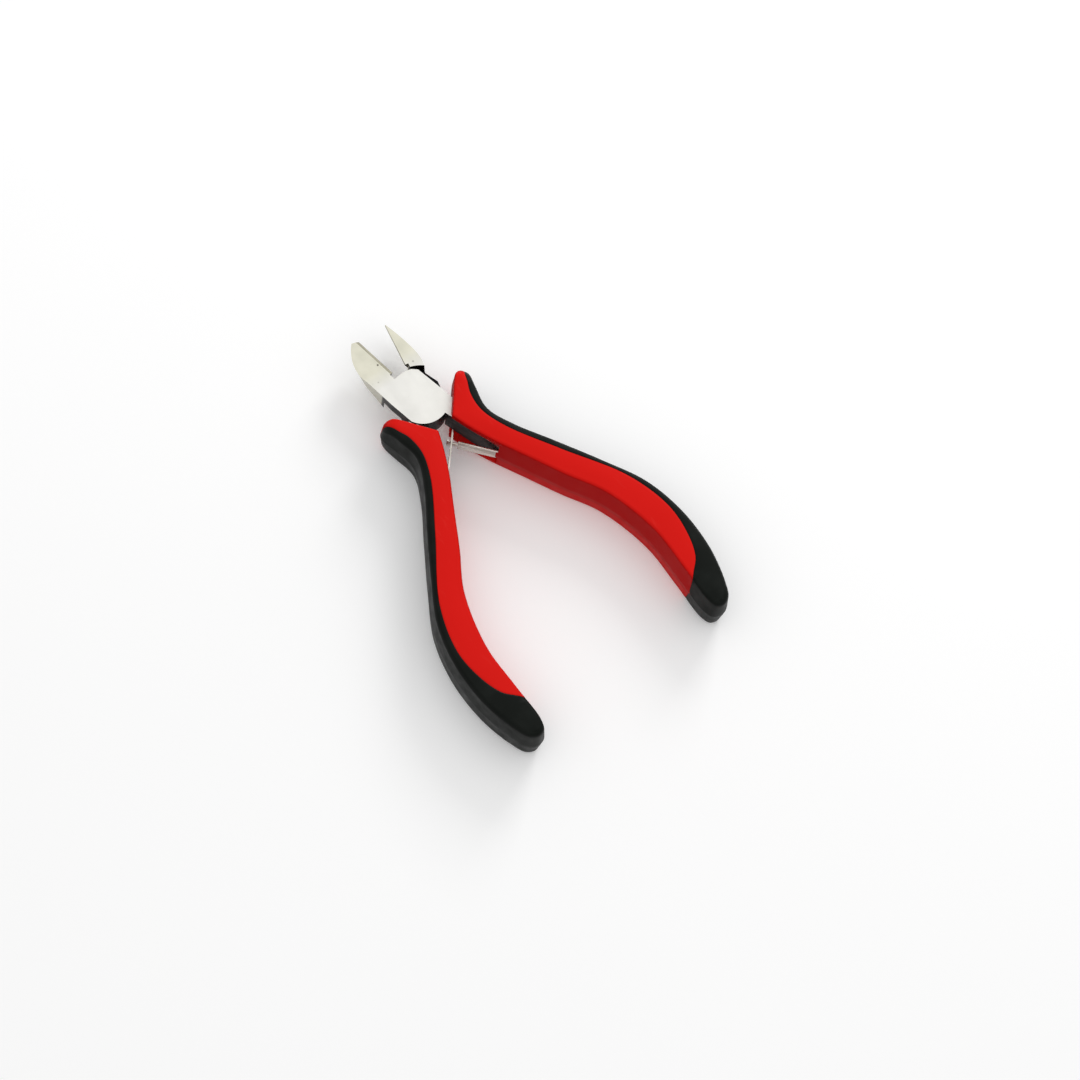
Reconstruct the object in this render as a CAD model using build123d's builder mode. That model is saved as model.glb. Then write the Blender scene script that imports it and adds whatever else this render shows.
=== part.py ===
"""Small diagonal cutting pliers with two-colour moulded handles and a double leaf spring.

Frame: millimetres, +Z up. The origin is on the surface that the tool lies on, under the
pivot. The jaws point along +Y and the handles spread towards -Y. The handles are shown
spread as far as the leaf springs push them.
"""

import os
from math import atan2, cos, degrees, radians, sin

from build123d import *

os.makedirs("parts", exist_ok=True)

# Heights
HANDLE_THICKNESS = 15.0
JOINT_THICKNESS = 7.0
MID_Z = HANDLE_THICKNESS / 2
JOINT_BOTTOM = MID_Z - JOINT_THICKNESS / 2
JOINT_TOP = MID_Z + JOINT_THICKNESS / 2
LAP_GAP = 0.1  # between the two half-thickness plates of the joint

# Joint, measured from the pivot axis
HALF_OPENING = 10.3  # degrees each jaw stands away from the centre line
FRONT_RADIUS = 8.9  # front arc of each lap plate
SHOULDER_RADIUS = 9.6  # concentric wall that the front arc turns inside
REAR_RADIUS = 6.9  # rear arc of each lap plate
HEEL_RADIUS = 7.3  # concentric wall that the rear arc turns inside
RIVET_RADIUS = 2.5
RIVET_HEAD_RADIUS = 3.6
RIVET_HEAD_DEPTH = 1.1
RIVET_CLEARANCE = 0.05

# Cutting edges
EDGE_Z = 10.6  # height of the two cutting edges
EDGE_START = 10.6  # along the edge, from the pivot
EDGE_END = 22.8
EDGE_GAP = 0.03  # left between the closed edges
UPPER_LEVER_TOP_BEVEL = 0.8  # how far each bevel runs back from the edge
LOWER_LEVER_TOP_BEVEL = 0.15
BOTTOM_BEVEL = 2.8
NOTCH_WIDTH = 1.7
NOTCH_DEPTH = 1.0

# Handles
SIDE_LEAN = 0.6  # how far the sides lean in from the parting line to the top and bottom
RIM_RADIUS = 0.9  # rounding of the top and bottom rims
LEFT_SETBACK = 1.3  # how much further back the left handle sits on its tang
CORE_MARGIN = 2.6  # rubber thickness around the plastic core in the end cap

# Leaf springs, on the right side; the left one is the mirror image up to the crossing
LEAF_THICKNESS = 0.5
LEAF_WIDTH = 4.0
LEAF_BEND_RADIUS = 3.0
LEAF_FOOT = (10.5, -26.2)
LEAF_ROOT = (6.9, -20.9)
LEAF_CROSSING = (0.0, -13.25)
SLOTTED_LEAF_TIP = 3.2  # all four are lengths along the leaf from the crossing
NECK_LENGTH = 1.7
TAB_START = 0.4
TAB_LENGTH = 0.9
NECK_HEIGHT = 1.5
TAB_HEIGHT = 3.2
SLOT_HEIGHT = 2.0
SLOT_LENGTH = 1.7
RECESS_HEIGHT = 10.6

# Plan outlines on the right side, x away from the centre line, y from the pivot
UPPER_JAW_TOP = [(6.1, 23.0), (8.0, 20.4), (9.3, 17.2), (9.55, 14.2), (9.0, 11.6)]
UPPER_JAW_BOTTOM = [(4.9, 22.6), (6.6, 19.3), (7.5, 16.2), (7.9, 13.5), (7.8, 11.4)]
LOWER_JAW_TOP = [(4.3, 22.6), (5.3, 18.9), (6.1, 15.0), (6.5, 12.0), (6.4, 9.0)]
LOWER_JAW_BOTTOM = [(5.2, 22.8), (6.9, 20.1), (8.0, 16.8), (8.4, 13.7), (8.3, 11.2)]
UPPER_JAW_ROOT = (7.4, 3.0)
LOWER_JAW_ROOT = (5.4, 5.0)
THROAT = (1.2, 6.0)  # where each jaw's inner side starts, inside the joint
PLATE_FRONT_CORNER = (4.0, 7.4)
PLATE_REAR_CORNER = (4.4, -5.2)
PLATE_JAW_SIDE = (-6.0, 7.0)
TANG_START = (4.0, 3.0)

HANDLE_OUTLINE = [
    (2.3, -9.1),
    (5.7, -4.9),
    (8.4, -1.5),
    (10.5, 0.6),
    (12.8, 1.0),
    (14.2, -0.5),
    (13.1, -5.8),
    (12.1, -12.0),
    (15.0, -19.3),
    (21.1, -29.2),
    (27.8, -40.2),
    (33.9, -51.4),
    (36.6, -63.2),
    (36.4, -75.3),
    (34.0, -85.0),
    (32.2, -88.9),
    (29.7, -90.2),
    (27.3, -89.4),
    (26.2, -86.6),
    (26.3, -75.5),
    (26.2, -63.4),
    (22.4, -48.9),
    (16.6, -38.9),
    (11.4, -29.3),
    (7.0, -21.1),
    (3.9, -13.9),
]
COLOUR_LINE = [
    (15.4, 2.0),
    (12.6, -0.9),
    (11.3, -3.9),
    (10.1, -6.8),
    (9.8, -12.0),
    (12.2, -19.0),
    (20.3, -32.3),
    (30.1, -47.7),
    (33.8, -60.4),
    (33.1, -69.4),
    (30.9, -75.4),
    (27.6, -78.8),
    (25.4, -81.6),
]
RED_SIDE = [(10.0, -80.0), (-10.0, -20.0), (-10.0, 10.0), (24.0, 10.0)]  # round the red parts, outside them
CORE_OUTLINE = [(28.6, -70.0), (33.4, -64.0), (33.6, -75.0), (31.2, -84.6), (29.6, -87.4), (28.8, -84.6)]
TANG_OUTER = [(6.4, -2.3), (7.6, -8.4), (9.4, -15.0), (14.0, -24.4), (19.0, -33.2), (26.2, -45.6)]
TANG_INNER = [(24.6, -47.0), (16.9, -34.8), (11.3, -26.6), (8.5, -22.2), (5.2, -13.4), (3.7, -9.0)]
RECESS_OUTLINE = [(-3.0, -6.0), (3.7, -8.0), (4.6, -9.5), (9.4, -22.4), (3.5, -21.2), (-3.0, -14.0)]
FOOT_SLOT_OUTLINE = [(6.1, -20.0), (6.69, -21.04), (10.29, -26.34), (11.5, -26.9), (9.3, -20.6)]


def at_radius(radius, angle):
    """A point at a distance and angle from the pivot."""
    return (radius * cos(radians(angle)), radius * sin(radians(angle)))


REAR_RIGHT = at_radius(REAR_RADIUS, 293.0)


def on_edge(distance):
    """A point of the right-hand cutting line, at a distance from the pivot."""
    turn = radians(HALF_OPENING)
    return (distance * sin(turn) + EDGE_GAP, distance * cos(turn))


def cylinder(radius, bottom, top):
    """A cylinder on the pivot axis."""
    with BuildPart() as blank:
        with BuildSketch(Plane.XY.offset(bottom)):
            Circle(radius)
        extrude(amount=top - bottom)
    return blank.part


def rivet_form(clearance=0.0):
    """A shaft with a countersunk head at each face of the joint."""
    shaft = RIVET_RADIUS + clearance
    head = RIVET_HEAD_RADIUS + clearance
    with BuildPart() as form:
        with BuildSketch(Plane.XZ):
            with BuildLine():
                Polyline(
                    (0, JOINT_BOTTOM),
                    (head, JOINT_BOTTOM),
                    (shaft, JOINT_BOTTOM + RIVET_HEAD_DEPTH),
                    (shaft, JOINT_TOP - RIVET_HEAD_DEPTH),
                    (head, JOINT_TOP),
                    (0, JOINT_TOP),
                    close=True,
                )
            make_face()
        revolve(axis=Axis.Z)
    return form.part


def tang_block():
    """The full-thickness steel that runs from the joint into the right handle."""
    with BuildPart() as block:
        with BuildSketch(Plane.XY.offset(JOINT_BOTTOM)):
            with BuildLine():
                Polyline(TANG_START, *TANG_OUTER, *TANG_INNER, REAR_RIGHT, close=True)
            make_face()
        extrude(amount=JOINT_THICKNESS)
    return block.part


def joint_form():
    """The lap plate and tang of the lever whose tang goes into the right handle."""
    plate_bottom = MID_Z + LAP_GAP / 2
    front_left = at_radius(FRONT_RADIUS, 105.6)
    front_right = at_radius(FRONT_RADIUS, 73.0)
    rear_left = at_radius(REAR_RADIUS, 211.2)
    with BuildPart() as joint:
        add(tang_block())
        add(cylinder(HEEL_RADIUS, JOINT_BOTTOM - 1, plate_bottom), mode=Mode.SUBTRACT)
        with BuildSketch(Plane.XY.offset(plate_bottom)):
            with BuildLine():
                ThreePointArc(front_left, (0, FRONT_RADIUS), front_right)
                Polyline(front_right, PLATE_FRONT_CORNER, TANG_OUTER[0], PLATE_REAR_CORNER, REAR_RIGHT)
                ThreePointArc(REAR_RIGHT, at_radius(REAR_RADIUS, 256.0), rear_left)
                Polyline(rear_left, (-UPPER_JAW_ROOT[0], UPPER_JAW_ROOT[1]), PLATE_JAW_SIDE, front_left)
            make_face()
        extrude(amount=JOINT_TOP - plate_bottom)
    return joint.part


def jaw_form(top_outline, bottom_outline, root, top_bevel, plate_bottom, plate_top):
    """A right-hand jaw: sloped outer side, two bevels and a notch at the cutting edge.

    It is cleared inside the shoulder radius between plate_bottom and plate_top, where the
    other lever's plate turns.
    """
    with BuildPart() as jaw:
        for height, outline in ((JOINT_BOTTOM, bottom_outline), (JOINT_TOP, top_outline)):
            with BuildSketch(Plane.XY.offset(height)):
                with BuildLine():
                    Polyline(THROAT, on_edge(EDGE_START - 1), on_edge(EDGE_END), outline[0])
                    Spline(*outline)
                    Polyline(outline[-1], root, THROAT)
                make_face()
        loft(ruled=True)
        across = Plane(origin=(EDGE_GAP, 0, 0), x_dir=(1, 0, 0), z_dir=(0, 1, 0))
        edge_plane = across.rotated((0, 0, -HALF_OPENING))
        for face, reach, run in ((JOINT_TOP, 1, top_bevel), (JOINT_BOTTOM, -1, BOTTOM_BEVEL)):
            slope = run / abs(face - EDGE_Z)
            end = face + reach
            with BuildSketch(edge_plane.offset(EDGE_START)):
                with BuildLine():
                    Polyline(
                        (0, -EDGE_Z), (abs(end - EDGE_Z) * slope, -end), (-2, -end), (-2, -EDGE_Z), close=True
                    )
                make_face()
            extrude(amount=EDGE_END, mode=Mode.SUBTRACT)
        with BuildSketch(Plane.XY.offset(JOINT_BOTTOM - 1)):
            with Locations(on_edge(EDGE_START - NOTCH_WIDTH / 2)):
                Rectangle(2 * NOTCH_DEPTH, NOTCH_WIDTH, rotation=-HALF_OPENING)
        extrude(amount=JOINT_THICKNESS + 2, mode=Mode.SUBTRACT)
        add(cylinder(SHOULDER_RADIUS, plate_bottom, plate_top), mode=Mode.SUBTRACT)
    return jaw.part


def heading(outline, index):
    """The direction of a closed outline at one of its points."""
    before = Vector(*outline[index - 1])
    after = Vector(*outline[(index + 1) % len(outline)])
    return (after - before).normalized()


def inset(outline, amount):
    """The closed outline, moved inwards along its own normals."""
    moved = []
    for index, (x, y) in enumerate(outline):
        along = heading(outline, index)
        moved.append((x + along.Y * amount, y - along.X * amount))
    return moved


def arcs_through(points):
    """A chain of arcs, each through three points in a row."""
    for start in range(0, len(points) - 2, 2):
        ThreePointArc(*points[start : start + 3])


def handle_form():
    """The outside of the right handle: leaning sides and rounded rims."""
    rims = [radians(turn) for turn in (0, 30, 60, 90)]
    levels = [MID_Z - RIM_RADIUS * (1 - sin(turn)) for turn in rims]
    insets = [SIDE_LEAN + RIM_RADIUS * (1 - cos(turn)) for turn in rims]
    with BuildPart() as form:
        for level, amount in zip([0, *levels], [0, *insets]):
            with BuildSketch(Plane.XY.offset(MID_Z + level)):
                with BuildLine():
                    outline = inset(HANDLE_OUTLINE, amount)
                    arcs_through([*outline, outline[0]])
                make_face()
        loft(ruled=True)
        mirror(about=Plane.XY.offset(MID_Z))
    return form.part


def red_zone():
    """Everything on the inner side of the line where red plastic meets black rubber."""
    with BuildPart() as zone:
        with BuildSketch(Plane.XY.offset(-1)):
            with BuildLine():
                arcs_through(COLOUR_LINE)
                Polyline(COLOUR_LINE[-1], *RED_SIDE, COLOUR_LINE[0])
            make_face()
        extrude(amount=HANDLE_THICKNESS + 2)
    return zone.part


def core_tongue():
    """The plastic core's rear end, which the rubber end cap surrounds."""
    with BuildPart() as tongue:
        with BuildSketch(Plane.XY.offset(CORE_MARGIN + 1)):
            with BuildLine():
                Polyline(*CORE_OUTLINE, close=True)
            make_face()
        extrude(amount=HANDLE_THICKNESS - 2 * (CORE_MARGIN + 1))
    return tongue.part


def along_leaf(distance):
    """A point on the line of the right leaf, counted forwards from the crossing."""
    root, crossing = Vector(*LEAF_ROOT), Vector(*LEAF_CROSSING)
    point = crossing + (crossing - root).normalized() * distance
    return (point.X, point.Y)


def leaf_strip(end, height):
    """Sheet steel from the leaf's foot, round the bend at its root, to a distance past the crossing."""
    with BuildPart() as strip:
        with BuildSketch(Plane.XY.offset(MID_Z - height / 2)):
            with BuildLine() as middle:
                FilletPolyline(LEAF_FOOT, LEAF_ROOT, along_leaf(end), radius=LEAF_BEND_RADIUS)
            trace(middle.line, line_width=LEAF_THICKNESS)
        extrude(amount=height)
    return strip.part


def tab():
    """The wide end of the right leaf, which the other leaf's slot can't let go."""
    with BuildPart() as head:
        with BuildSketch(Plane.XY.offset(MID_Z - TAB_HEIGHT / 2)):
            with BuildLine() as middle:
                Line(along_leaf(TAB_START), along_leaf(TAB_START + TAB_LENGTH))
            trace(middle.line, line_width=LEAF_THICKNESS)
        extrude(amount=TAB_HEIGHT)
    return head.part


def spring_recess():
    """The slot in the inner side of the right sleeve that the leaf lies in and swings in."""
    with BuildPart() as recess:
        with BuildSketch(Plane.XY.offset(MID_Z - RECESS_HEIGHT / 2)):
            with BuildLine():
                Polyline(*RECESS_OUTLINE, close=True)
            make_face()
        extrude(amount=RECESS_HEIGHT)
        with BuildSketch(Plane.XY.offset(MID_Z - LEAF_WIDTH / 2)):
            with BuildLine():
                Polyline(*FOOT_SLOT_OUTLINE, close=True)
            make_face()
        extrude(amount=LEAF_WIDTH)
    return recess.part


def sleeve_form(setback=0.0):
    """The right sleeve, hollow for the tang and the spring, moved back by the setback."""
    back = Location((0, -setback, 0))
    with BuildPart() as sleeve:
        add(handle_form().moved(back))
        add(red_zone().moved(back), mode=Mode.INTERSECT)
        add(core_tongue().moved(back))
        add(tang_block(), mode=Mode.SUBTRACT)
        add(spring_recess(), mode=Mode.SUBTRACT)
        add(leaf_strip(-NECK_LENGTH, LEAF_WIDTH), mode=Mode.SUBTRACT)
    return sleeve.part


def grip_form(setback=0.0):
    """The right grip, moved back by the setback."""
    with BuildPart() as grip:
        add(handle_form())
        add(red_zone(), mode=Mode.SUBTRACT)
        add(core_tongue(), mode=Mode.SUBTRACT)
    return grip.part.moved(Location((0, -setback, 0)))


# Joint
with BuildPart() as pivot_rivet:
    add(rivet_form())

with BuildPart() as upper_lever:
    add(joint_form())
    left_jaw = (UPPER_JAW_TOP, UPPER_JAW_BOTTOM, UPPER_JAW_ROOT, UPPER_LEVER_TOP_BEVEL)
    mirror(jaw_form(*left_jaw, JOINT_BOTTOM - 1, MID_Z + LAP_GAP / 2), about=Plane.YZ)
    add(rivet_form(), mode=Mode.SUBTRACT)

turned_over = joint_form().rotate(Axis((0, 0, MID_Z), (0, 1, 0)), 180)

with BuildPart() as lower_lever:
    add(turned_over)
    right_jaw = (LOWER_JAW_TOP, LOWER_JAW_BOTTOM, LOWER_JAW_ROOT, LOWER_LEVER_TOP_BEVEL)
    add(jaw_form(*right_jaw, MID_Z - LAP_GAP / 2, JOINT_TOP + 1))
    add(rivet_form(RIVET_CLEARANCE), mode=Mode.SUBTRACT)

# Springs
with BuildPart() as right_spring_leaf:
    add(leaf_strip(-NECK_LENGTH, LEAF_WIDTH))
    add(leaf_strip(TAB_START, NECK_HEIGHT))
    add(tab())

with BuildPart() as slotted_leaf:
    add(leaf_strip(SLOTTED_LEAF_TIP, LEAF_WIDTH))
    lean = atan2(LEAF_CROSSING[1] - LEAF_ROOT[1], LEAF_CROSSING[0] - LEAF_ROOT[0])
    with BuildSketch(Plane.XY.offset(MID_Z - SLOT_HEIGHT / 2)):
        with Locations(LEAF_CROSSING):
            Rectangle(SLOT_LENGTH, 2 * LEAF_THICKNESS, rotation=degrees(lean))
    extrude(amount=SLOT_HEIGHT, mode=Mode.SUBTRACT)

with BuildPart() as left_spring_leaf:
    mirror(slotted_leaf.part, about=Plane.YZ)

# Handles
with BuildPart() as right_sleeve:
    add(sleeve_form())

with BuildPart() as right_grip:
    add(grip_form())

with BuildPart() as left_sleeve:
    mirror(sleeve_form(LEFT_SETBACK), about=Plane.YZ)

with BuildPart() as left_grip:
    mirror(grip_form(LEFT_SETBACK), about=Plane.YZ)

pieces = {
    "upper_lever": upper_lever,
    "lower_lever": lower_lever,
    "pivot_rivet": pivot_rivet,
    "left_spring_leaf": left_spring_leaf,
    "right_spring_leaf": right_spring_leaf,
    "left_sleeve": left_sleeve,
    "right_sleeve": right_sleeve,
    "left_grip": left_grip,
    "right_grip": right_grip,
}
for name, piece in pieces.items():
    piece.part.label = name
    export_step(piece.part, f"parts/{name}.step")
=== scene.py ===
"""Looks of the small diagonal cutting pliers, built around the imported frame.

The frame is in metres: +Z up, jaw tips along +Y, pivot on the Z axis. Outlines and sizes
below are in millimetres, for the right-hand side; the left-hand side is the mirror image.
"""

import math

import bmesh
import bpy
import numpy as np
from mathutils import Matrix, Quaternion, Vector


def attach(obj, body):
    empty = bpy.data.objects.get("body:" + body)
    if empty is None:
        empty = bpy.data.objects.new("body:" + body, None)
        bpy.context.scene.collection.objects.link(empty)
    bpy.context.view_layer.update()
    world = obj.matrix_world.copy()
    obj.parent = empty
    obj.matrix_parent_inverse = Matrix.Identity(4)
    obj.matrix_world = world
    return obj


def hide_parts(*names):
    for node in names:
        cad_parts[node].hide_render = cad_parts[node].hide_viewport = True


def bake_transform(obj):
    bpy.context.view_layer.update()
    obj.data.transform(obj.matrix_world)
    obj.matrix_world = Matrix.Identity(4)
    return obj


MM = 0.001

# Camera
LENS = 100
SENSOR_WIDTH = 36
NEAREST = 0.01
LOOK_AT = Vector((0.83, -49.53, 15.0)) * MM
CAMERA_DISTANCE = 757.25 * MM
CAMERA_SIDE = Vector((-0.2886, -0.2389, 0.9272))  # from the tool to the camera
CAMERA_ROLL = math.radians(15)

# Light
HORIZON = 0.30
ZENITH = 1.03
KEY_PLACE = (0.60, 0.30, 0.40)
KEY_SIZE = (0.30, 0.30)
KEY_POWER = 2.0

# Floor
FLOOR_HALF_WIDTH = 1.5
FLOOR_CELLS = 8
FLOOR_GAP = 0.02 * MM  # how far the floor lies below the tool

# Handles: plan outline at mid-height, from the front inner corner round the guard and the end cap
HANDLE_OUTLINE = [
    (2.3, -9.1),
    (5.7, -4.9),
    (8.4, -1.5),
    (10.5, 0.6),
    (12.8, 1.0),
    (14.2, -0.5),
    (13.1, -5.8),
    (12.1, -12.0),
    (15.0, -19.3),
    (21.1, -29.2),
    (27.8, -40.2),
    (33.9, -51.4),
    (36.6, -63.2),
    (36.4, -75.3),
    (34.0, -85.0),
    (32.2, -88.9),
    (29.7, -90.2),
    (27.3, -89.4),
    (26.2, -86.6),
    (26.3, -75.5),
    (26.2, -63.4),
    (22.4, -48.9),
    (16.6, -38.9),
    (11.4, -29.3),
    (7.0, -21.1),
    (3.9, -13.9),
    (2.3, -9.1),
]
GUARD_TIP = 4.5  # places in that list, counted from 0
WAIST = 7
END_CAP = 16

# Where the red sleeve meets the black grip, seen from above; both ends lie outside the handle
COLOUR_LINE = [
    (18.2, 4.9),
    (15.4, 2.0),
    (12.6, -0.9),
    (11.3, -3.9),
    (10.1, -6.8),
    (9.8, -12.0),
    (12.2, -19.0),
    (20.3, -32.3),
    (30.1, -47.7),
    (33.8, -60.4),
    (33.1, -69.4),
    (30.9, -75.4),
    (27.6, -78.8),
    (25.4, -81.6),
    (22.6, -85.2),
]
HANDLE_THICKNESS = 15.0
LEFT_SETBACK = 1.3  # how much further back the left handle sits
MID_Z = HANDLE_THICKNESS / 2
CROWN = 0.25  # how far the top face rises from its rims to its middle

# Side profile, by distance y from the pivot: how far the wall leans in, the rim's width and
# height, and its roundness, which is 2 for a quarter circle and less for a bevel
INNER_PROFILE = [
    (1.0, 0.3, 0.9, 0.9, 2.0),
    (-9.0, 0.3, 0.8, 0.8, 2.0),
    (-24.0, 0.6, 0.9, 0.9, 2.0),
    (-84.0, 0.6, 0.9, 0.9, 2.0),
    (-90.2, 0.6, 1.2, 1.5, 2.0),
]
OUTER_PROFILE = [
    (1.0, 0.4, 1.0, 1.1, 2.0),
    (-4.0, 0.5, 1.1, 1.2, 1.7),
    (-14.0, 0.5, 1.1, 1.2, 1.5),
    (-24.0, 0.4, 1.0, 1.1, 1.5),
    (-84.0, 0.4, 1.1, 1.3, 1.5),
    (-90.2, 0.6, 1.2, 1.5, 2.0),
]
NOSE_DIRECTION = (0.8, 0.6)  # the guard's tip points this way
NOSE_LENGTH = 4.5  # how far back from the tip it is rounded from above and below
NOSE_THICKNESS = 0.3  # share of the full thickness that is left at the tip
SEAM_DEPTH = 0.14
SEAM_WIDTH = 0.3
HANDLE_SHARP_ANGLE = 38

# Recess in the sleeve's inner side, where the leaf spring lies: its back wall, y against x
RECESS_BACK = [(-22.1, 9.3), (-9.5, 4.6), (-8.0, 3.7), (-5.0, 3.7)]
RECESS_HEIGHT = 10.6

# Leaf springs, up to and past the place where they cross
LEAF_FOOT = (10.7, -25.0)
LEAF_ROOT = (6.9, -20.9)
LEAF_CROSSING = (0.0, -13.25)
LEAF_BEND_RADIUS = 3.0
LEAF_BEND_STEPS = 9
LEAF_THICKNESS = 0.5
LEAF_WIDTH = 4.0
LEAF_EDGE_RADIUS = 0.06
LEAF_EDGE_ANGLE = 50  # edges that turn more than this are rounded
LEAF_REACH = 15.5  # how far back from the crossing the close stops begin
LEAF_STOPS = 40
NECK_LENGTH = 1.7
NECK_HEIGHT = 1.5
TAB_START = 0.4
TAB_LENGTH = 0.9
TAB_HEIGHT = 3.2
SLOTTED_LEAF_TIP = 3.2
SLOT_LENGTH = 1.7
SLOT_HEIGHT = 2.0
FLAT_SHARP_ANGLE = 30

# Fineness of the meshes
SPAN_POINTS = 24
STATIONS_FRONT = 46
STATIONS_REAR = 200
WALL_ROWS = 12
RIM_ROWS = 10
TOP_COLUMNS = 16
TURN_WEIGHT = 1.2  # mm of length that one radian of turn counts for when a section is divided
RED_COLUMNS = 38
BLACK_COLUMNS = 30
CURTAIN_ROWS = 3
INSET_STEP = 0.05
INSET_EVENING = 0.3  # share of the way that a point slides towards even spacing at each step
MERGE_DISTANCE = 0.004 * MM
SHORTEST_EDGE = 0.002 * MM


# Plan curves


def smooth_path(points):
    """A centripetal Catmull-Rom curve through the points, as a fine polyline."""
    p = np.array(points, float)
    p = np.vstack([2 * p[0] - p[1], p, 2 * p[-1] - p[-2]])
    line = []
    for a, b, c, d in zip(p[:-3], p[1:-2], p[2:-1], p[3:]):
        t1 = np.linalg.norm(b - a) ** 0.5
        t2 = t1 + np.linalg.norm(c - b) ** 0.5
        t3 = t2 + np.linalg.norm(d - c) ** 0.5
        t = np.linspace(t1, t2, SPAN_POINTS, endpoint=False)[:, None]
        ab = (t1 - t) / t1 * a + t / t1 * b
        bc = (t2 - t) / (t2 - t1) * b + (t - t1) / (t2 - t1) * c
        cd = (t3 - t) / (t3 - t2) * c + (t - t2) / (t3 - t2) * d
        abc = (t2 - t) / t2 * ab + t / t2 * bc
        bcd = (t3 - t) / (t3 - t1) * bc + (t - t1) / (t3 - t1) * cd
        line.append((t2 - t) / (t2 - t1) * abc + (t - t1) / (t2 - t1) * bcd)
    return np.vstack([*line, p[-2:-1]])


def lengths(line):
    """Distance along a polyline at each of its points."""
    return np.concatenate([[0], np.cumsum(np.linalg.norm(np.diff(line, axis=0), axis=1))])


def points_at(line, measure, stops):
    """Points of a polyline where its measure, a number at each of its points, reaches the stops."""
    return np.stack([np.interp(stops, measure, c) for c in line.T], axis=1)


def divided(line, fractions):
    """Points of a polyline at fractions of its length."""
    measure = lengths(line)
    return points_at(line, measure, fractions * measure[-1])


def unit(v):
    """The vectors, each scaled to a length of 1."""
    return v / np.maximum(np.linalg.norm(v, axis=-1, keepdims=True), 1e-9)


def handle_paths():
    """Matching points of the inner and outer outline, from the guard's tip to the end cap."""
    loop = smooth_path(HANDLE_OUTLINE)
    tip, waist, end = (round(place * SPAN_POINTS) for place in (GUARD_TIP, WAIST, END_CAP))
    front = np.arange(STATIONS_FRONT + 1) / STATIONS_FRONT
    front = 0.5 * front + 0.5 * (1 - np.cos(front * math.pi / 2))
    rear = np.arange(1, STATIONS_REAR + 1) / STATIONS_REAR
    rear = 0.6 * rear + 0.4 * np.sin(rear * math.pi / 2)
    inner = np.vstack([divided(loop[tip::-1], front), divided(loop[:end - 1:-1], rear)])
    outer = np.vstack([divided(loop[tip:waist + 1], front), divided(loop[waist:end + 1], rear)])
    return inner, outer


def inset_loop(loop, amounts, corner):
    """The closed loop moved inwards by an amount at each point, in small steps.

    The points even out their spacing as they go, except the one at the corner.
    """
    steps = max(1, math.ceil(amounts.max() / INSET_STEP))
    for _ in range(steps):
        before = unit(loop - np.roll(loop, 1, 0)) @ np.array([[0, 1], [-1, 0]])
        after = unit(np.roll(loop, -1, 0) - loop) @ np.array([[0, 1], [-1, 0]])
        normal = unit(before + after)
        mitre = np.maximum((normal * after).sum(1), 0.5)
        loop = loop + normal * (amounts / steps / mitre)[:, None]
        tangent = unit(np.roll(loop, -1, 0) - np.roll(loop, 1, 0))
        middle = (np.roll(loop, 1, 0) + np.roll(loop, -1, 0)) / 2
        slide = INSET_EVENING * ((middle - loop) * tangent).sum(1)
        slide[corner] = 0
        loop = loop + tangent * slide[:, None]
    return loop


def side_profiles(inner, outer):
    """Inset and height of each wall and rim row, at each point of the closed loop."""
    columns = []
    for line, table in ((inner, INNER_PROFILE), (outer[-2:0:-1], OUTER_PROFILE)):
        y, *values = np.array(table[::-1]).T
        columns.append(np.stack([np.interp(line[:, 1], y, v) for v in values]))
    lean, width, height, power = np.hstack(columns)
    shoulder = HANDLE_THICKNESS - CROWN - height
    share = np.arange(WALL_ROWS)[:, None] / WALL_ROWS
    wall_inset, wall_z = lean * share, MID_Z + (shoulder - MID_Z) * share
    turn = np.linspace(0, math.pi / 2, RIM_ROWS + 1)[:, None]
    rim_inset = lean + width * (1 - np.cos(turn).clip(0) ** (2 / power))
    rim_z = shoulder + height * np.sin(turn) ** (2 / power)
    return np.vstack([wall_inset, rim_inset]), np.vstack([wall_z, rim_z])


def handle_sections():
    """The upper half of each station's section, from the inner wall over the top to the outer."""
    inner, outer = handle_paths()
    stations = len(inner)
    loop = np.vstack([inner, outer[-2:0:-1]])
    insets, heights = side_profiles(inner, outer)
    rows, line = [], loop
    for step in range(len(insets)):
        if step:
            line = inset_loop(line, insets[step] - insets[step - 1], STATIONS_FRONT)
        rows.append(np.column_stack([line, heights[step]]))
    rows = np.array(rows)
    back = np.concatenate([[0], np.arange(len(loop) - 1, stations - 1, -1), [stations - 1]])
    up, down = rows[:, :stations], rows[::-1, back]
    u = np.linspace(0, 1, TOP_COLUMNS + 2)[1:-1, None, None]
    top = up[-1] * (1 - u) + down[0] * u
    top[..., 2] += CROWN * np.sin(u[..., 0] * math.pi)
    return np.concatenate([up, top, down]).transpose(1, 0, 2)


def round_nose(sections):
    """Rounds the guard's tip from above and below, so that it thins towards its end."""
    reach = sections[..., :2] @ np.array(NOSE_DIRECTION)
    back = ((reach.max() - reach) / NOSE_LENGTH).clip(0, 1)
    share = NOSE_THICKNESS + (1 - NOSE_THICKNESS) * np.sqrt(1 - (1 - back) ** 2)
    sections[..., 2] = MID_Z + (sections[..., 2] - MID_Z) * share


def hollow_recess(sections):
    """Presses the spring's recess into the inner side."""
    y, x = np.array(RECESS_BACK).T
    wall = np.interp(sections[..., 1], y, x, left=-99, right=-99)
    low = np.abs(sections[..., 2] - MID_Z) < RECESS_HEIGHT / 2
    sections[..., 0] = np.where(low & (sections[..., 0] < wall), wall, sections[..., 0])


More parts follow.
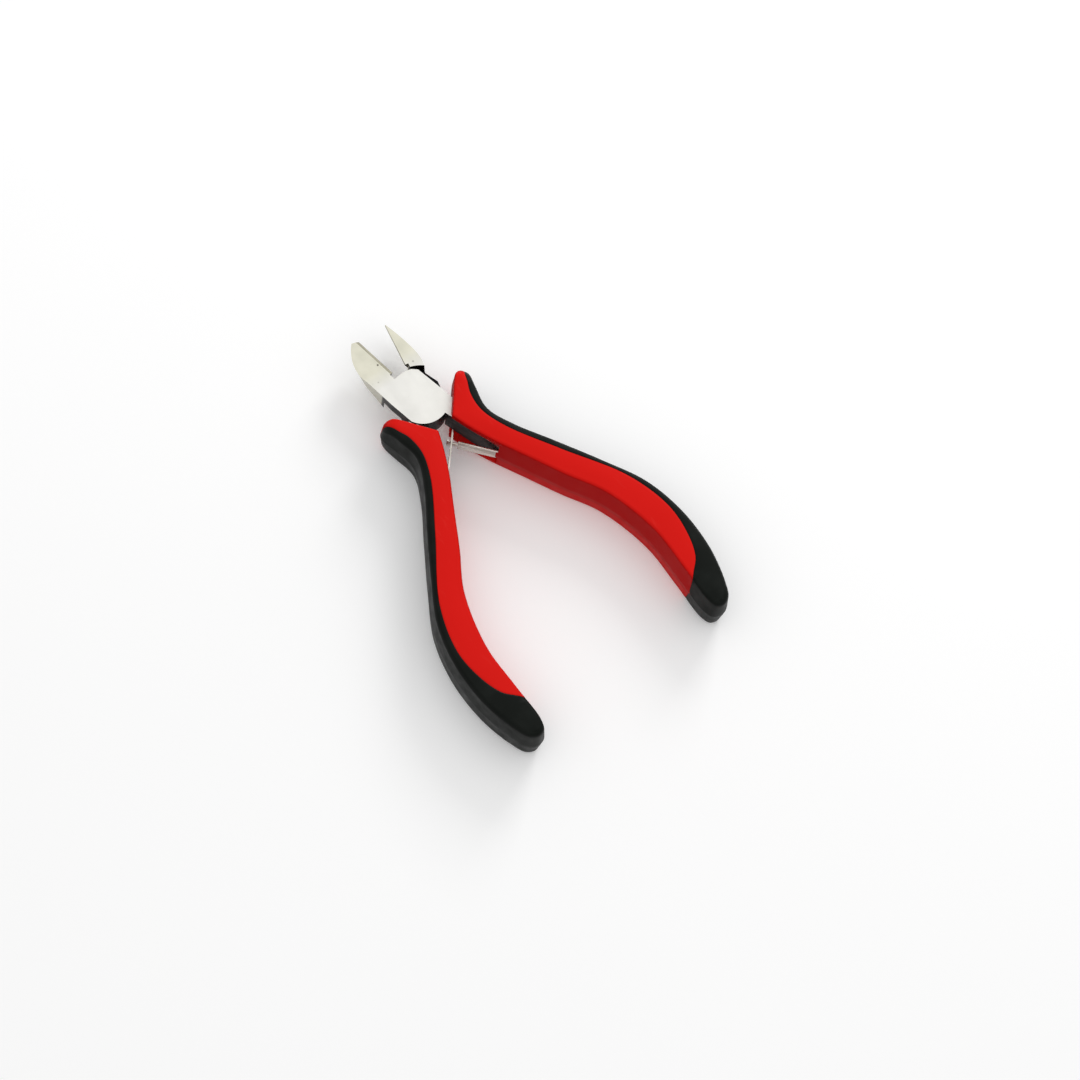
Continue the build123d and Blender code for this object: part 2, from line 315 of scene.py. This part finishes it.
def crossing(section, line):
    """How far along a section, as a place in its list, the colour line cuts it: None if it doesn't."""
    a, b = section[:-1, None, :2], section[1:, None, :2]
    c, d = line[None, :-1], line[None, 1:]
    r, s, q = b - a, d - c, c - a
    cross = r[..., 0] * s[..., 1] - r[..., 1] * s[..., 0]
    cross = np.where(np.abs(cross) < 1e-12, 1e-12, cross)
    t = (q[..., 0] * s[..., 1] - q[..., 1] * s[..., 0]) / cross
    w = (q[..., 0] * r[..., 1] - q[..., 1] * r[..., 0]) / cross
    hit = (t >= 0) & (t <= 1) & (w >= 0) & (w <= 1)
    if not hit.any():
        return None
    first = np.argmax(hit.any(1))
    return first + t[first, np.argmax(hit[first])]


def section_measure(section):
    """Length along a section, counting its turns too, so that rims get more divisions."""
    heading = unit(np.diff(section, axis=0))
    turn = np.arccos(np.clip((heading[1:] * heading[:-1]).sum(1), -1, 1))
    turn = np.concatenate([[0], (turn[1:] + turn[:-1]) / 2, [turn[-1] / 2]])
    return lengths(section) + TURN_WEIGHT * np.concatenate([[0], np.cumsum(turn)])


def split_sections(sections):
    """Each section's red and black part, equally divided, with the seam's edge rolled in."""
    line = smooth_path(COLOUR_LINE)
    red, black = [], []
    last = len(sections[0]) - 1
    middle = len(sections) // 2
    for station, section in enumerate(sections):
        cut = crossing(section, line)
        if cut is None:
            cut = last if station < middle else 0
        measure = section_measure(section)
        at_cut = np.interp(cut, np.arange(last + 1), measure)
        for part, columns, start in ((red, RED_COLUMNS, 0.0), (black, BLACK_COLUMNS, measure[-1])):
            span = at_cut - start
            edge = min(SEAM_WIDTH, abs(span) / 4)
            stops = np.linspace(start, at_cut - math.copysign(edge, span), columns)
            stops = np.append(stops, at_cut)
            points = points_at(section, measure, stops)
            if 0 < cut < last:
                heart = section[len(section) // 2] * (1, 1, 0) + (0, 0, MID_Z)
                points[-1] += unit(heart - points[-1]) * SEAM_DEPTH
            part.append(points)
    return np.array(red), np.array(black)


def ring_mesh(name, halves, mirrored):
    """A closed mesh from half sections: each is closed by its mirror image and a curtain between."""
    low = halves[:, ::-1].copy()
    low[..., 2] = HANDLE_THICKNESS - low[..., 2]
    top, bottom = halves[:, -1:], low[:, :1]
    share = np.linspace(0, 1, CURTAIN_ROWS + 2)[1:-1, None]
    curtain = top * (1 - share) + bottom * share
    rings = np.concatenate([halves, curtain, low[:, :-1]], axis=1) * MM
    if mirrored:
        rings[..., 0] *= -1
    stations, around = rings.shape[:2]
    bm = bmesh.new()
    grid = [[bm.verts.new(p) for p in ring] for ring in rings]
    for i in range(stations - 1):
        for j in range(around):
            k = (j + 1) % around
            bm.faces.new((grid[i][j], grid[i][k], grid[i + 1][k], grid[i + 1][j]))
    bmesh.ops.remove_doubles(bm, verts=bm.verts, dist=MERGE_DISTANCE)
    bmesh.ops.dissolve_degenerate(bm, edges=bm.edges, dist=SHORTEST_EDGE)
    bmesh.ops.recalc_face_normals(bm, faces=bm.faces)
    return finished_mesh(name, bm, HANDLE_SHARP_ANGLE)


def finished_mesh(name, bm, sharp_angle):
    """A smooth-shaded object whose edges above an angle stay crisp."""
    mesh = bpy.data.meshes.new(name)
    bm.to_mesh(mesh)
    bm.free()
    mesh.shade_smooth()
    mesh.set_sharp_from_angle(angle=math.radians(sharp_angle))
    obj = bpy.data.objects.new(name, mesh)
    bpy.context.scene.collection.objects.link(obj)
    return obj


# Materials


class Finish:
    """A procedural material: a Principled shader and short calls for what feeds it."""

    def __init__(self, name, **inputs):
        self.material = bpy.data.materials.new(name)
        self.material.use_nodes = True
        self.tree = self.material.node_tree
        self.shader = self.tree.nodes["Principled BSDF"]
        for key, value in inputs.items():
            self.shader.inputs[key.replace("_", " ")].default_value = value
        self.place = self.tree.nodes.new("ShaderNodeTexCoord").outputs["Object"]
        self.normal = None

    def link(self, a, b):
        self.tree.links.new(a, b)

    def mapped(self, scale, turn=0.0):
        node = self.tree.nodes.new("ShaderNodeMapping")
        node.inputs["Scale"].default_value = scale
        node.inputs["Rotation"].default_value = (0, 0, turn)
        self.link(self.place, node.inputs["Vector"])
        return node.outputs["Vector"]

    def noise(self, scale, detail=3.0, stretch=(1, 1, 1), turn=0.0):
        node = self.tree.nodes.new("ShaderNodeTexNoise")
        node.inputs["Scale"].default_value = scale
        node.inputs["Detail"].default_value = detail
        self.link(self.mapped(stretch, turn), node.inputs["Vector"])
        return node.outputs["Fac"]

    def maths(self, operation, *values):
        """The result of a sum on values, each of which is a number or a socket."""
        node = self.tree.nodes.new("ShaderNodeMath")
        node.operation = operation
        for socket, value in zip(node.inputs, values):
            if isinstance(value, float):
                socket.default_value = value
            else:
                self.link(value, socket)
        return node.outputs["Value"]

    def spots(self, scale, radius):
        """1 in small round spots scattered about, 0 elsewhere."""
        node = self.tree.nodes.new("ShaderNodeTexVoronoi")
        node.inputs["Scale"].default_value = scale
        self.link(self.place, node.inputs["Vector"])
        return self.ranged(node.outputs["Distance"], radius, radius * 0.5)

    def ranged(self, value, low, high, to_low=0.0, to_high=1.0):
        """A value's range turned into another, and held at its ends."""
        node = self.tree.nodes.new("ShaderNodeMapRange")
        for key, number in zip(("From Min", "From Max", "To Min", "To Max"), (low, high, to_low, to_high)):
            node.inputs[key].default_value = number
        self.link(value, node.inputs["Value"])
        return node.outputs["Result"]

    def part(self, kind, axis, shift=0.0):
        """One part of the object-space place or normal, with a shift added."""
        node = self.tree.nodes.new("ShaderNodeSeparateXYZ")
        self.link(self.place.node.outputs[kind], node.inputs["Vector"])
        return self.maths("ADD", node.outputs[axis], shift)

    def size(self, value):
        return self.maths("ABSOLUTE", value)

    def axis_distance(self):
        """Distance from the pivot axis."""
        node = self.tree.nodes.new("ShaderNodeVectorMath")
        node.operation = "LENGTH"
        self.link(self.mapped((1, 1, 0)), node.inputs[0])
        return node.outputs["Value"]

    def times(self, a, b):
        return self.maths("MULTIPLY", a, b)

    def mixed(self, share, a, b):
        """A colour between a and b; each is a colour or a socket."""
        node = self.tree.nodes.new("ShaderNodeMix")
        node.data_type = "RGBA"
        self.link(share, node.inputs["Factor"])
        for key, colour in ((6, a), (7, b)):
            if isinstance(colour, tuple):
                node.inputs[key].default_value = (*colour, 1)
            else:
                self.link(colour, node.inputs[key])
        return node.outputs[2]

    def colour(self, socket):
        self.link(socket, self.shader.inputs["Base Color"])

    def roughness(self, socket):
        self.link(socket, self.shader.inputs["Roughness"])

    def bump(self, height, distance, strength=1.0):
        node = self.tree.nodes.new("ShaderNodeBump")
        node.inputs["Distance"].default_value = distance
        node.inputs["Strength"].default_value = strength
        self.link(height, node.inputs["Height"])
        if self.normal is not None:
            self.link(self.normal, node.inputs["Normal"])
        self.normal = node.outputs["Normal"]
        self.link(self.normal, self.shader.inputs["Normal"])


def jaw_steel():
    """Forged steel: satin-ground faces, grey forged sides, stains and pits, and painted shade at the
    joint.

    Painted shade makes black the walls near the pivot or behind it, and the lap; the plate's left
    heel is black too. The jaws are yellower than the plate, and their bevels are darkened by painted
    shade.
    """
    f = Finish("jaw_steel", Metallic=1.0)
    stains = f.ranged(f.noise(140, 4), 0.35, 0.7)
    lines = f.noise(900, 3, stretch=(1, 0.04, 1), turn=math.radians(24))
    jaws = f.ranged(f.part("Object", "Y"), 8 * MM, 13 * MM)
    pits = f.times(f.times(f.spots(380, 0.13), f.ranged(f.noise(220, 1), 0.50, 0.54)), jaws)
    plate = f.mixed(stains, (0.84, 0.83, 0.79), (0.76, 0.75, 0.71))
    blade = f.mixed(stains, (0.76, 0.74, 0.62), (0.62, 0.61, 0.50))
    tilt = f.size(f.part("Normal", "Z"))
    # Painted shade: faces that tilt a little from level, the bevels, are coloured dark.
    bevels = f.ranged(tilt, 0.98, 0.90)
    walls = f.ranged(tilt, 0.5, 0.3)
    grey = f.mixed(f.noise(500, 4), (0.50, 0.49, 0.42), (0.68, 0.66, 0.57))
    ground = f.mixed(bevels, f.mixed(jaws, plate, blade), (0.19, 0.18, 0.14))
    worn = f.mixed(pits, f.mixed(walls, ground, grey), (0.10, 0.09, 0.07))
    black = (0.010, 0.010, 0.011)
    distance = f.axis_distance()
    near = f.ranged(distance, 10.4 * MM, 10.0 * MM)
    behind = f.ranged(f.part("Object", "Y"), 2.5 * MM, 2.0 * MM)
    depth = f.size(f.part("Object", "Z", -MID_Z * MM))
    # Painted shade: the lap at mid-height near the pivot is coloured black.
    lap = f.times(f.ranged(depth, 3.4 * MM, 3.2 * MM), near)
    left = f.ranged(f.part("Object", "X"), 0.5 * MM, 0.0)
    rear = f.times(f.ranged(f.part("Object", "Y"), -5.2 * MM, -5.5 * MM), left)
    heel = f.times(rear, f.ranged(distance, 7.0 * MM, 7.1 * MM))
    colour = f.mixed(heel, f.mixed(lap, worn, black), black)
    # Painted shade: walls near the pivot, and walls behind it, are coloured black.
    colour = f.mixed(f.times(walls, near), colour, black)
    f.colour(f.mixed(f.times(walls, behind), colour, black))
    f.roughness(f.ranged(lines, 0.3, 0.7, 0.32, 0.48))
    f.bump(lines, 0.01 * MM, 0.6)
    f.bump(f.noise(1800, 2), 0.01 * MM, 0.4)
    return f.material


def spring_steel():
    """Bright rolled strip with lengthwise scratches and dull streaks."""
    f = Finish("spring_steel", Metallic=1.0)
    scratches = f.noise(1600, 3, stretch=(1, 1, 6))
    streaks = f.ranged(f.noise(260, 4, stretch=(0.5, 0.5, 3)), 0.4, 0.65)
    f.colour(f.mixed(streaks, (0.78, 0.74, 0.68), (0.38, 0.34, 0.29)))
    f.roughness(f.ranged(scratches, 0.3, 0.7, 0.16, 0.34))
    f.bump(scratches, 0.006 * MM, 0.5)
    return f.material


def red_plastic():
    """Satin moulded plastic: fine grain, slight mottling and a few dull scuffs.

    Its walls carry painted shade: they are coloured darker than its top, and a little lighter low down.
    """
    f = Finish("red_plastic", Specular_IOR_Level=0.04)
    mottle = f.noise(60, 4)
    scuffs = f.ranged(f.noise(700, 5, stretch=(1, 0.25, 1), turn=math.radians(-28)), 0.62, 0.72)
    plain = f.mixed(mottle, (0.72, 0.011, 0.008), (0.66, 0.009, 0.006))
    worn = f.mixed(scuffs, plain, (0.70, 0.016, 0.012))
    # Painted shade: walls are coloured darker than the top, and a little less dark low down.
    walls = f.ranged(f.size(f.part("Normal", "Z")), 0.75, 0.35)
    below = f.ranged(f.part("Object", "Z"), 5.6 * MM, 4.9 * MM)
    f.colour(f.mixed(walls, worn, f.mixed(below, (0.40, 0.001, 0.001), (0.52, 0.003, 0.002))))
    f.roughness(f.ranged(f.noise(250, 4), 0.3, 0.7, 0.42, 0.54))
    f.bump(f.noise(2600, 2), 0.02 * MM, 0.5)
    f.bump(f.noise(120, 3), 0.05 * MM, 0.35)
    return f.material


def black_rubber():
    """Soft moulded rubber: dull, finely pebbled, with faint handling marks, and walls darkened by painted
    shade.
    """
    f = Finish("black_rubber", Specular_IOR_Level=0.08)
    marks = f.ranged(f.noise(180, 5), 0.45, 0.75)
    worn = f.mixed(marks, (0.0050, 0.0066, 0.0052), (0.0090, 0.0110, 0.0092))
    # Painted shade: walls are coloured darker than the top.
    walls = f.ranged(f.size(f.part("Normal", "Z")), 0.75, 0.35)
    f.colour(f.mixed(walls, worn, (0.0020, 0.0030, 0.0020)))
    f.roughness(f.ranged(f.noise(320, 4), 0.3, 0.7, 0.36, 0.52))
    f.bump(f.noise(3200, 2), 0.03 * MM, 0.6)
    f.bump(f.noise(140, 3), 0.05 * MM, 0.3)
    return f.material


def floor_paper():
    """Pale paper, which glows a little, so that it comes out white."""
    f = Finish("floor_paper", Roughness=0.9, Emission_Color=(1, 1, 1, 1), Emission_Strength=0.10)
    f.colour(f.mixed(f.noise(6, 2), (0.96, 0.96, 0.96), (0.94, 0.94, 0.94)))
    return f.material


# Pieces


def leaf_line(end):
    """The leaf's middle line in plan, from its foot round the bend to a distance past the crossing."""
    foot, root, cross = (np.array(p) for p in (LEAF_FOOT, LEAF_ROOT, LEAF_CROSSING))
    back, ahead = unit(foot - root), unit(cross - root)
    half = math.acos(np.clip(back @ ahead, -1, 1)) / 2
    reach = LEAF_BEND_RADIUS / math.tan(half)
    middle = root + unit(back + ahead) * LEAF_BEND_RADIUS / math.sin(half)
    bend = []
    for share in np.linspace(0, 1, LEAF_BEND_STEPS):
        chord = (root + back * reach) * (1 - share) + (root + ahead * reach) * share
        bend.append(middle + unit(chord - middle) * LEAF_BEND_RADIUS)
    return np.vstack([foot, *bend, cross + ahead * end])


def leaf_mesh(name, end, filled, rows, stops, mirrored):
    """Sheet metal along leaf_line: a grid of cells, of which filled(s, z) says which are metal.

    stops are distances along the leaf from the crossing, and rows are heights from its middle.
    """
    line = leaf_line(end)
    measure = lengths(line)
    total = measure[-1]
    stops = np.array(sorted(stops)) + total - end
    points = points_at(line, measure, stops)
    ahead = unit(np.gradient(points, axis=0))
    side = np.stack([-ahead[:, 1], ahead[:, 0]], axis=1) * LEAF_THICKNESS / 2
    bm = bmesh.new()
    corners = {}

    def vertex(i, j, face):
        if (i, j, face) not in corners:
            x, y = points[i] + side[i] * face
            corners[i, j, face] = bm.verts.new(Vector((-x if mirrored else x, y, MID_Z + rows[j])) * MM)
        return corners[i, j, face]

    def metal(i, j):
        inside = 0 <= i < len(stops) - 1 and 0 <= j < len(rows) - 1
        return inside and filled((stops[i] + stops[i + 1]) / 2 - total + end, (rows[j] + rows[j + 1]) / 2)

    for i in range(len(stops) - 1):
        for j in range(len(rows) - 1):
            if not metal(i, j):
                continue
            for face in (-1, 1):
                bm.faces.new([vertex(*c, face) for c in ((i, j), (i + 1, j), (i + 1, j + 1), (i, j + 1))])
            for ni, nj, a, b in (
                (i - 1, j, (i, j), (i, j + 1)),
                (i + 1, j, (i + 1, j), (i + 1, j + 1)),
                (i, j - 1, (i, j), (i + 1, j)),
                (i, j + 1, (i, j + 1), (i + 1, j + 1)),
            ):
                if not metal(ni, nj):
                    bm.faces.new((vertex(*a, -1), vertex(*b, -1), vertex(*b, 1), vertex(*a, 1)))
    bmesh.ops.recalc_face_normals(bm, faces=bm.faces)
    edges = [e for e in bm.edges if e.calc_face_angle(0) > math.radians(LEAF_EDGE_ANGLE)]
    edge = LEAF_EDGE_RADIUS * MM
    bmesh.ops.bevel(bm, geom=edges, offset=edge, segments=2, affect="EDGES", profile=0.5)
    return finished_mesh(name, bm, FLAT_SHARP_ANGLE)


def leaf_stops(start, *features):
    """Close stops from the foot to start, and then the features' own ends."""
    return [*np.linspace(-LEAF_REACH, start, LEAF_STOPS), *features]


def mirrored_heights(*heights):
    """The rows at half of each height above and below the middle, and the middle row."""
    return sorted({sign * height / 2 for sign in (-1, 1) for height in heights} | {0})


def make_leaves(material):
    tab_end = TAB_START + TAB_LENGTH

    def tabbed(s, z):
        height = LEAF_WIDTH if s < -NECK_LENGTH else NECK_HEIGHT if s < TAB_START else TAB_HEIGHT
        return abs(z) < height / 2

    def slotted(s, z):
        return not (abs(s) < SLOT_LENGTH / 2 and abs(z) < SLOT_HEIGHT / 2)

    heights = mirrored_heights(NECK_HEIGHT, TAB_HEIGHT, LEAF_WIDTH)
    stops = leaf_stops(-NECK_LENGTH, -1, 0, TAB_START, tab_end)
    right = leaf_mesh("right_spring", tab_end, tabbed, heights, stops, False)
    heights = mirrored_heights(SLOT_HEIGHT, LEAF_WIDTH)
    stops = leaf_stops(-SLOT_LENGTH / 2, 0, SLOT_LENGTH / 2, 1.6, 2.4, SLOTTED_LEAF_TIP)
    left = leaf_mesh("left_spring", SLOTTED_LEAF_TIP, slotted, heights, stops, True)
    for piece, side, lever, sign in ((right, "right", "upper", 1), (left, "left", "lower", -1)):
        piece.data.materials.append(material)
        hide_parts(f"{side}_spring_leaf")
        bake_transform(piece)


def make_handles(red, black):
    sections = handle_sections()
    round_nose(sections)
    red_parts, black_parts = split_sections(sections)
    for side, body, mirrored, setback in (
        ("right", "upper", False, 0),
        ("left", "lower", True, LEFT_SETBACK),
    ):
        sleeve, grip = red_parts - (0, setback, 0), black_parts - (0, setback, 0)
        hollow_recess(sleeve)
        for part, halves, material, slot in (
            ("sleeve", sleeve, red, "red_plastic"),
            ("grip", grip, black, "black_rubber"),
        ):
            piece = ring_mesh(f"{side}_handle_{part}", halves, mirrored)
            piece.data.materials.append(material)
            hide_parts(f"{side}_{part}")
            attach(piece, body)


def finish_steel(material):
    for node in ("upper_lever", "lower_lever", "pivot_rivet"):
        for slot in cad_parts[node].material_slots:
            slot.link = "OBJECT"
            slot.material = material


# Stage


def make_camera():
    data = bpy.data.cameras.new("camera")
    data.lens = LENS
    data.sensor_width = SENSOR_WIDTH
    data.clip_start = NEAREST
    camera = bpy.data.objects.new("camera", data)
    back = CAMERA_SIDE.normalized()
    camera.rotation_mode = "QUATERNION"
    camera.location = LOOK_AT + back * CAMERA_DISTANCE
    camera.rotation_quaternion = (-back).to_track_quat("-Z", "Y") @ Quaternion((0, 0, 1), CAMERA_ROLL)
    bpy.context.scene.collection.objects.link(camera)
    bpy.context.scene.camera = camera


def make_floor():
    bm = bmesh.new()
    bmesh.ops.create_grid(bm, x_segments=FLOOR_CELLS, y_segments=FLOOR_CELLS, size=FLOOR_HALF_WIDTH)
    floor = finished_mesh("floor", bm, FLAT_SHARP_ANGLE)
    floor.location = LOOK_AT * Vector((1, 1, 0)) + Vector((0, 0, -FLOOR_GAP))
    floor.data.materials.append(floor_paper())


def make_area_light(name, place, size, power):
    data = bpy.data.lights.new(name, "AREA")
    data.shape = "RECTANGLE"
    data.size, data.size_y = size
    data.energy = power
    light = bpy.data.objects.new(name, data)
    light.location = place
    light.rotation_mode = "QUATERNION"
    light.rotation_quaternion = (LOOK_AT - Vector(place)).to_track_quat("-Z", "Y")
    bpy.context.scene.collection.objects.link(light)


def make_studio():
    """A white dome, brightest overhead, and one soft key light beyond the jaws, to the right."""
    world = bpy.data.worlds.new("studio")
    world.use_nodes = True
    tree = world.node_tree
    place = tree.nodes.new("ShaderNodeTexCoord")
    height = tree.nodes.new("ShaderNodeSeparateXYZ")
    ramp = tree.nodes.new("ShaderNodeMapRange")
    for key, value in (("From Min", 0.0), ("From Max", 1.0), ("To Min", HORIZON), ("To Max", ZENITH)):
        ramp.inputs[key].default_value = value
    background = tree.nodes["Background"]
    background.inputs["Color"].default_value = (1, 1, 1, 1)
    tree.links.new(place.outputs["Generated"], height.inputs["Vector"])
    tree.links.new(height.outputs["Z"], ramp.inputs["Value"])
    tree.links.new(ramp.outputs["Result"], background.inputs["Strength"])
    bpy.context.scene.world = world
    bpy.context.scene.view_settings.view_transform = "Standard"
    make_area_light("key", KEY_PLACE, KEY_SIZE, KEY_POWER)


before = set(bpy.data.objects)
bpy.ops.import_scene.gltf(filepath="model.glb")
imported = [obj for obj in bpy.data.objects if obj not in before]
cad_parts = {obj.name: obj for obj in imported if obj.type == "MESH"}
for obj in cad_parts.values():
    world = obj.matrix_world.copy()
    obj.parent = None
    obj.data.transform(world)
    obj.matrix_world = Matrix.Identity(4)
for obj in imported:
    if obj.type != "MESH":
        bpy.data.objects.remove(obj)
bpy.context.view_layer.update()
steel = jaw_steel()
finish_steel(steel)
make_handles(red_plastic(), black_rubber())
make_leaves(spring_steel())
make_camera()
make_floor()
make_studio()
